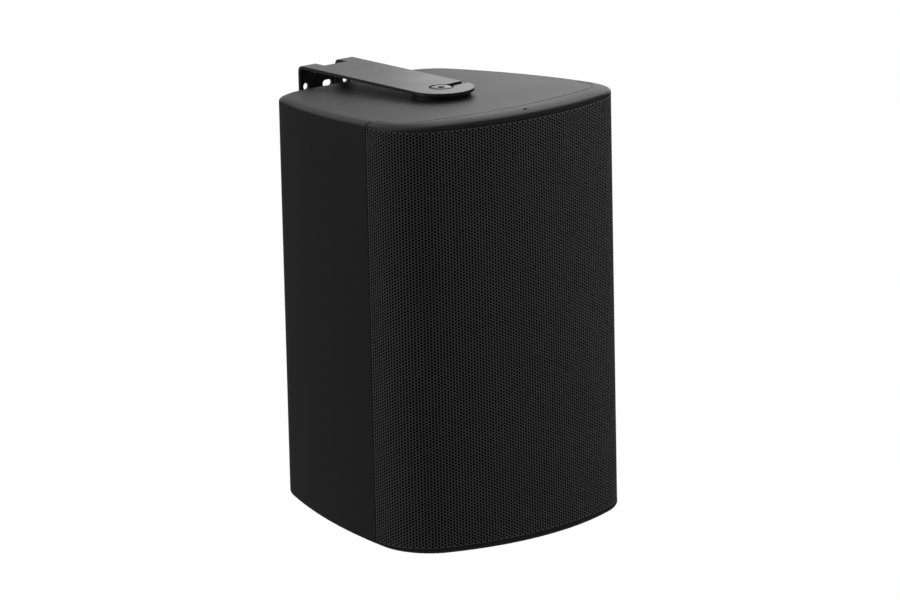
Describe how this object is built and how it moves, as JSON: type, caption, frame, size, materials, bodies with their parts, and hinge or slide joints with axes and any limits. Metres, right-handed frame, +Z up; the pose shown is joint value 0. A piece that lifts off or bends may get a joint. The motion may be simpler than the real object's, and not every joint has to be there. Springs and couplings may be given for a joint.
{
  "type": "wall speaker",
  "caption": "Black two-way wall speaker: bowed perforated grille, moulded tapering cabinet and a folded steel U-bracket that lets it pan on its pivot bolts.",
  "frame": {"origin": "middle of the wall plate's back face, in the wall plane and midway between the screw rows", "axes": "+Z up, +Y into the wall, the speaker looks along -Y"},
  "size_m": [0.2346, 0.269, 0.3584],
  "materials": {
    "bracket_steel": "black powder coat, satin",
    "cabinet_plastic": "black moulded plastic, fine grain",
    "frame_plastic": "black moulded plastic, satin",
    "grille_steel": "perforated sheet, black powder coat",
    "acoustic_cloth": "thin black cloth",
    "black_screw": "black oxide",
    "zinc_screw": "zinc plated",
    "insert_brass": "turned",
    "spacer_nylon": "black nylon",
    "rubber": "matt black",
    "basket_steel": "black paint",
    "ferrite": "sintered ferrite, dark grey",
    "plated_steel": "zinc plated",
    "cone_plastic": "black polypropylene",
    "coil_copper": "enamelled copper winding",
    "spider_cloth": "resin dipped cotton",
    "dome_silk": "coated silk",
    "tweeter_plastic": "black moulded plastic",
    "circuit_board": "plain laminate",
    "film_capacitor": "wrapped film",
    "cement_resistor": "white cement body",
    "terminal_plastic": "black moulded plastic",
    "wadding": "polyester wadding"
  },
  "bodies": {
    "bracket": {"u_bracket": "bracket_steel"},
    "cabinet": {"pivot_bolts": "black_screw", "pivot_spacers": "spacer_nylon", "pivot_inserts": "insert_brass", "rear_cabinet": "cabinet_plastic", "front_frame": "frame_plastic", "baffle_seal": "rubber", "frame_screws": "black_screw", "grille": "grille_steel", "grille_cloth": "acoustic_cloth", "woofer_basket": "basket_steel", "woofer_surround": "rubber", "woofer_gasket": "rubber", "woofer_screws": "black_screw", "woofer_spider": "spider_cloth", "woofer_top_plate": "plated_steel", "woofer_magnet": "ferrite", "woofer_yoke": "plated_steel", "tweeter_faceplate": "tweeter_plastic", "tweeter_screws": "black_screw", "tweeter_surround": "dome_silk", "tweeter_top_plate": "plated_steel", "tweeter_magnet": "ferrite", "tweeter_yoke": "plated_steel", "crossover_board": "circuit_board", "board_screws": "zinc_screw", "bass_inductor": "coil_copper", "treble_inductor": "coil_copper", "crossover_capacitors": "film_capacitor", "crossover_resistor": "cement_resistor", "terminal_cup": "terminal_plastic", "cup_screws": "black_screw", "terminal_block": "terminal_plastic", "terminal_screws": "zinc_screw", "damping_wadding": "wadding"},
    "woofer_moving": {"woofer_cone": "cone_plastic", "woofer_dust_cap": "cone_plastic", "woofer_voice_coil": "coil_copper"},
    "tweeter_moving": {"tweeter_dome": "dome_silk"}
  },
  "joints": [
    {"name": "pan", "type": "hinge", "parent": "bracket", "child": "cabinet", "pos_m": [0, -0.1524, 0], "axis": [0, 0, 1], "range_deg": [-80, 80]},
    {"name": "woofer_stroke", "type": "slide", "parent": "cabinet", "child": "woofer_moving", "axis": [0, -1, 0], "range_m": [-0.004, 0.004], "stiffness_N_per_m": 1400, "deforming": ["woofer_surround", "woofer_spider"]},
    {"name": "tweeter_stroke", "type": "slide", "parent": "cabinet", "child": "tweeter_moving", "axis": [0, -1, 0], "range_m": [-0.0005, 0.0005], "stiffness_N_per_m": 3000, "deforming": ["tweeter_surround"]}
  ]
}
